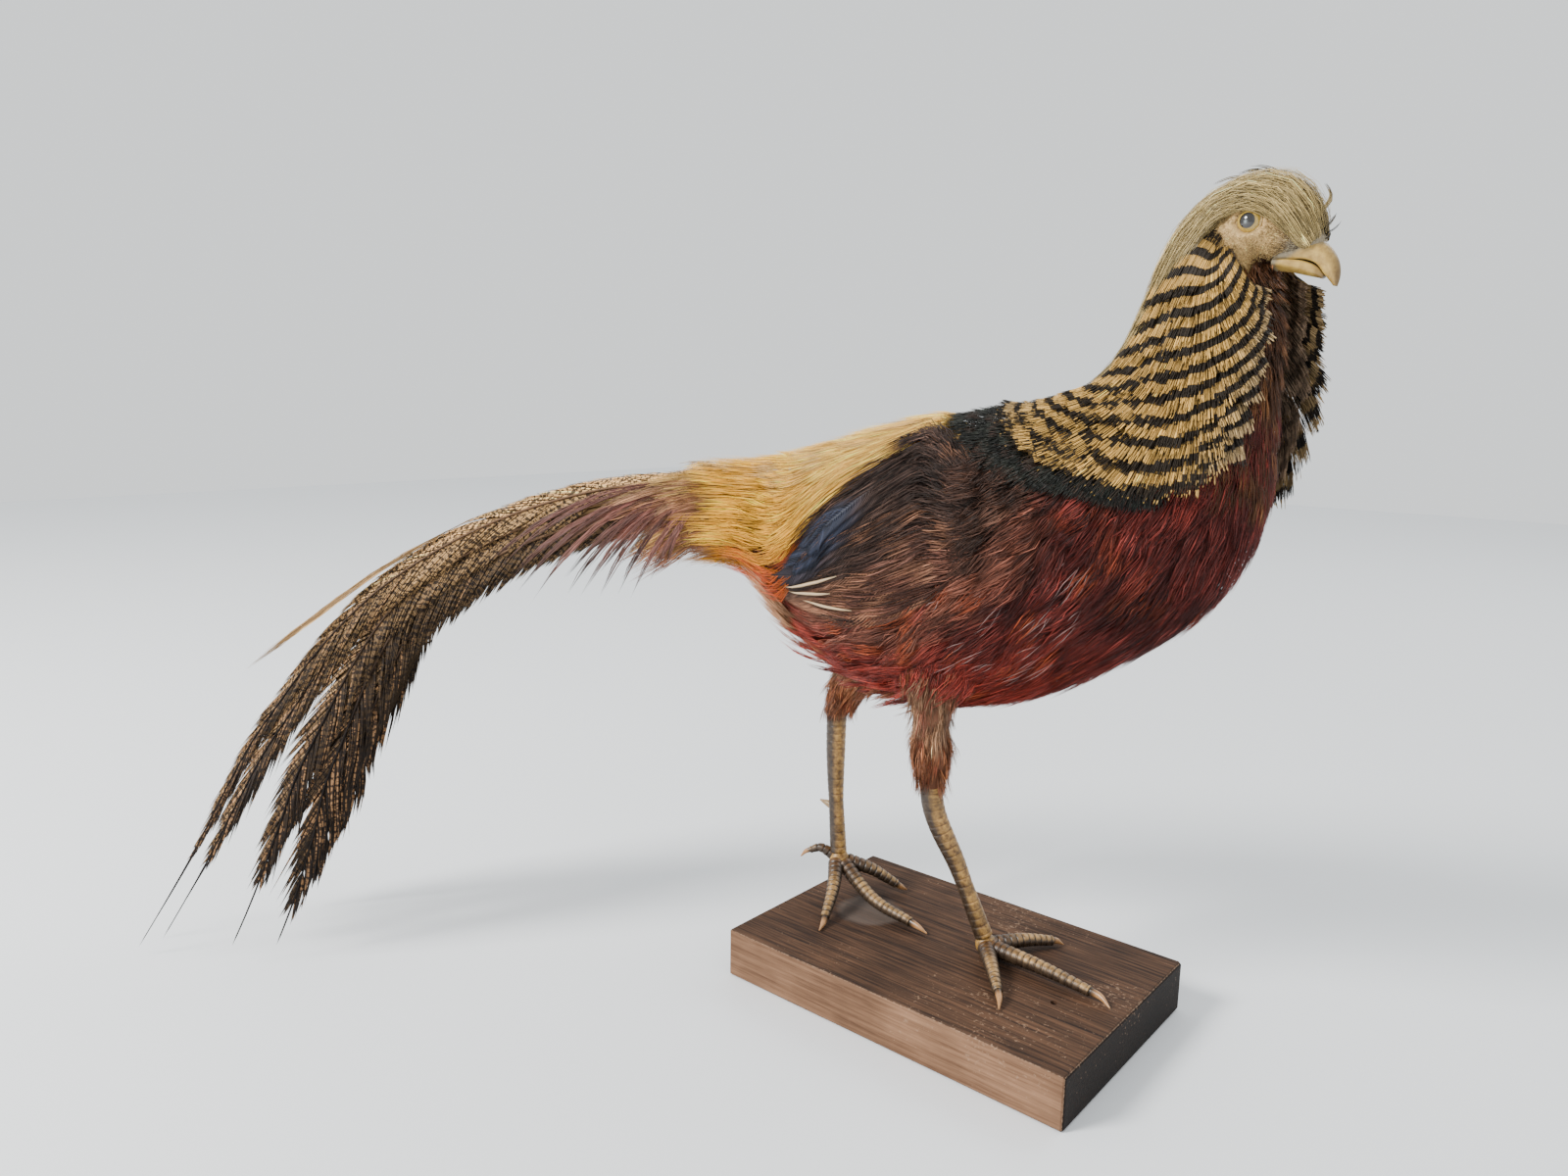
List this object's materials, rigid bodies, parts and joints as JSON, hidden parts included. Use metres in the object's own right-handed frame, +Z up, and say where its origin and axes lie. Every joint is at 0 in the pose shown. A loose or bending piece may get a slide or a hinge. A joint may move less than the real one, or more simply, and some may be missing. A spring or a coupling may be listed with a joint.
{
  "type": "mounted golden pheasant taxidermy specimen",
  "caption": "Life-size mounted golden pheasant cock with silky crest, barred cape, folded wings and long arched tail, walking on a rectangular wooden block.",
  "frame": {"origin": "centre of the flat underside of the wooden block", "axes": "+Z up; +X along the block's long axis, the way the bird walks; +Y to the bird's left"},
  "size_m": [0.4895, 0.3341, 0.3867],
  "materials": {
    "stand_base": "dark stained softwood, worn at the edges",
    "torso": "dense deep red body plumage, golden and green on the back",
    "neck": "short golden and rusty neck plumage",
    "head": "short tan face plumage",
    "crest": "long silky pale gold crest",
    "cape_left": "golden cape plumes barred with black",
    "cape_right": "golden cape plumes barred with black",
    "rump": "golden yellow back and rump plumes",
    "vent": "loose tawny plumes under the tail",
    "wing_left": "folded wing, dark brown and blue",
    "wing_right": "folded wing, dark brown and blue",
    "tail_left_base": "long tan tail vanes marbled with black",
    "tail_left_end": "tail vanes running out into bare dark quills",
    "tail_right_base": "long tan tail vanes marbled with black",
    "tail_right_end": "tail vanes running out into bare dark quills",
    "coverts_left": "narrow pinkish red tail coverts",
    "coverts_right": "narrow pinkish red tail coverts",
    "bill_upper": "pale horn",
    "bill_lower": "pale horn",
    "eye_left": "glass eye, yellow iris and clouded pupil",
    "eye_right": "glass eye, yellow iris and clouded pupil",
    "thigh_left": "short rusty leg plumage",
    "shank_left": "dried scaly leg skin",
    "foot_left": "dried scaly toe skin",
    "spur_left": "horn",
    "claw_left_inner": "horn",
    "claw_left_middle": "horn",
    "claw_left_outer": "horn",
    "claw_left_hind": "horn",
    "thigh_right": "short rusty leg plumage",
    "shank_right": "dried scaly leg skin",
    "foot_right": "dried scaly toe skin",
    "spur_right": "horn",
    "claw_right_inner": "horn",
    "claw_right_middle": "horn",
    "claw_right_outer": "horn",
    "claw_right_hind": "horn"
  },
  "bodies": {
    "root": {"stand_base": "stand_base", "torso": "torso", "neck": "neck", "head": "head", "crest": "crest", "cape_left": "cape_left", "cape_right": "cape_right", "rump": "rump", "vent": "vent", "wing_left": "wing_left", "wing_right": "wing_right", "tail_left_base": "tail_left_base", "tail_left_end": "tail_left_end", "tail_right_base": "tail_right_base", "tail_right_end": "tail_right_end", "coverts_left": "coverts_left", "coverts_right": "coverts_right", "bill_upper": "bill_upper", "bill_lower": "bill_lower", "eye_left": "eye_left", "eye_right": "eye_right", "thigh_left": "thigh_left", "shank_left": "shank_left", "foot_left": "foot_left", "spur_left": "spur_left", "claw_left_inner": "claw_left_inner", "claw_left_middle": "claw_left_middle", "claw_left_outer": "claw_left_outer", "claw_left_hind": "claw_left_hind", "thigh_right": "thigh_right", "shank_right": "shank_right", "foot_right": "foot_right", "spur_right": "spur_right", "claw_right_inner": "claw_right_inner", "claw_right_middle": "claw_right_middle", "claw_right_outer": "claw_right_outer", "claw_right_hind": "claw_right_hind"}
  },
  "joints": []
}
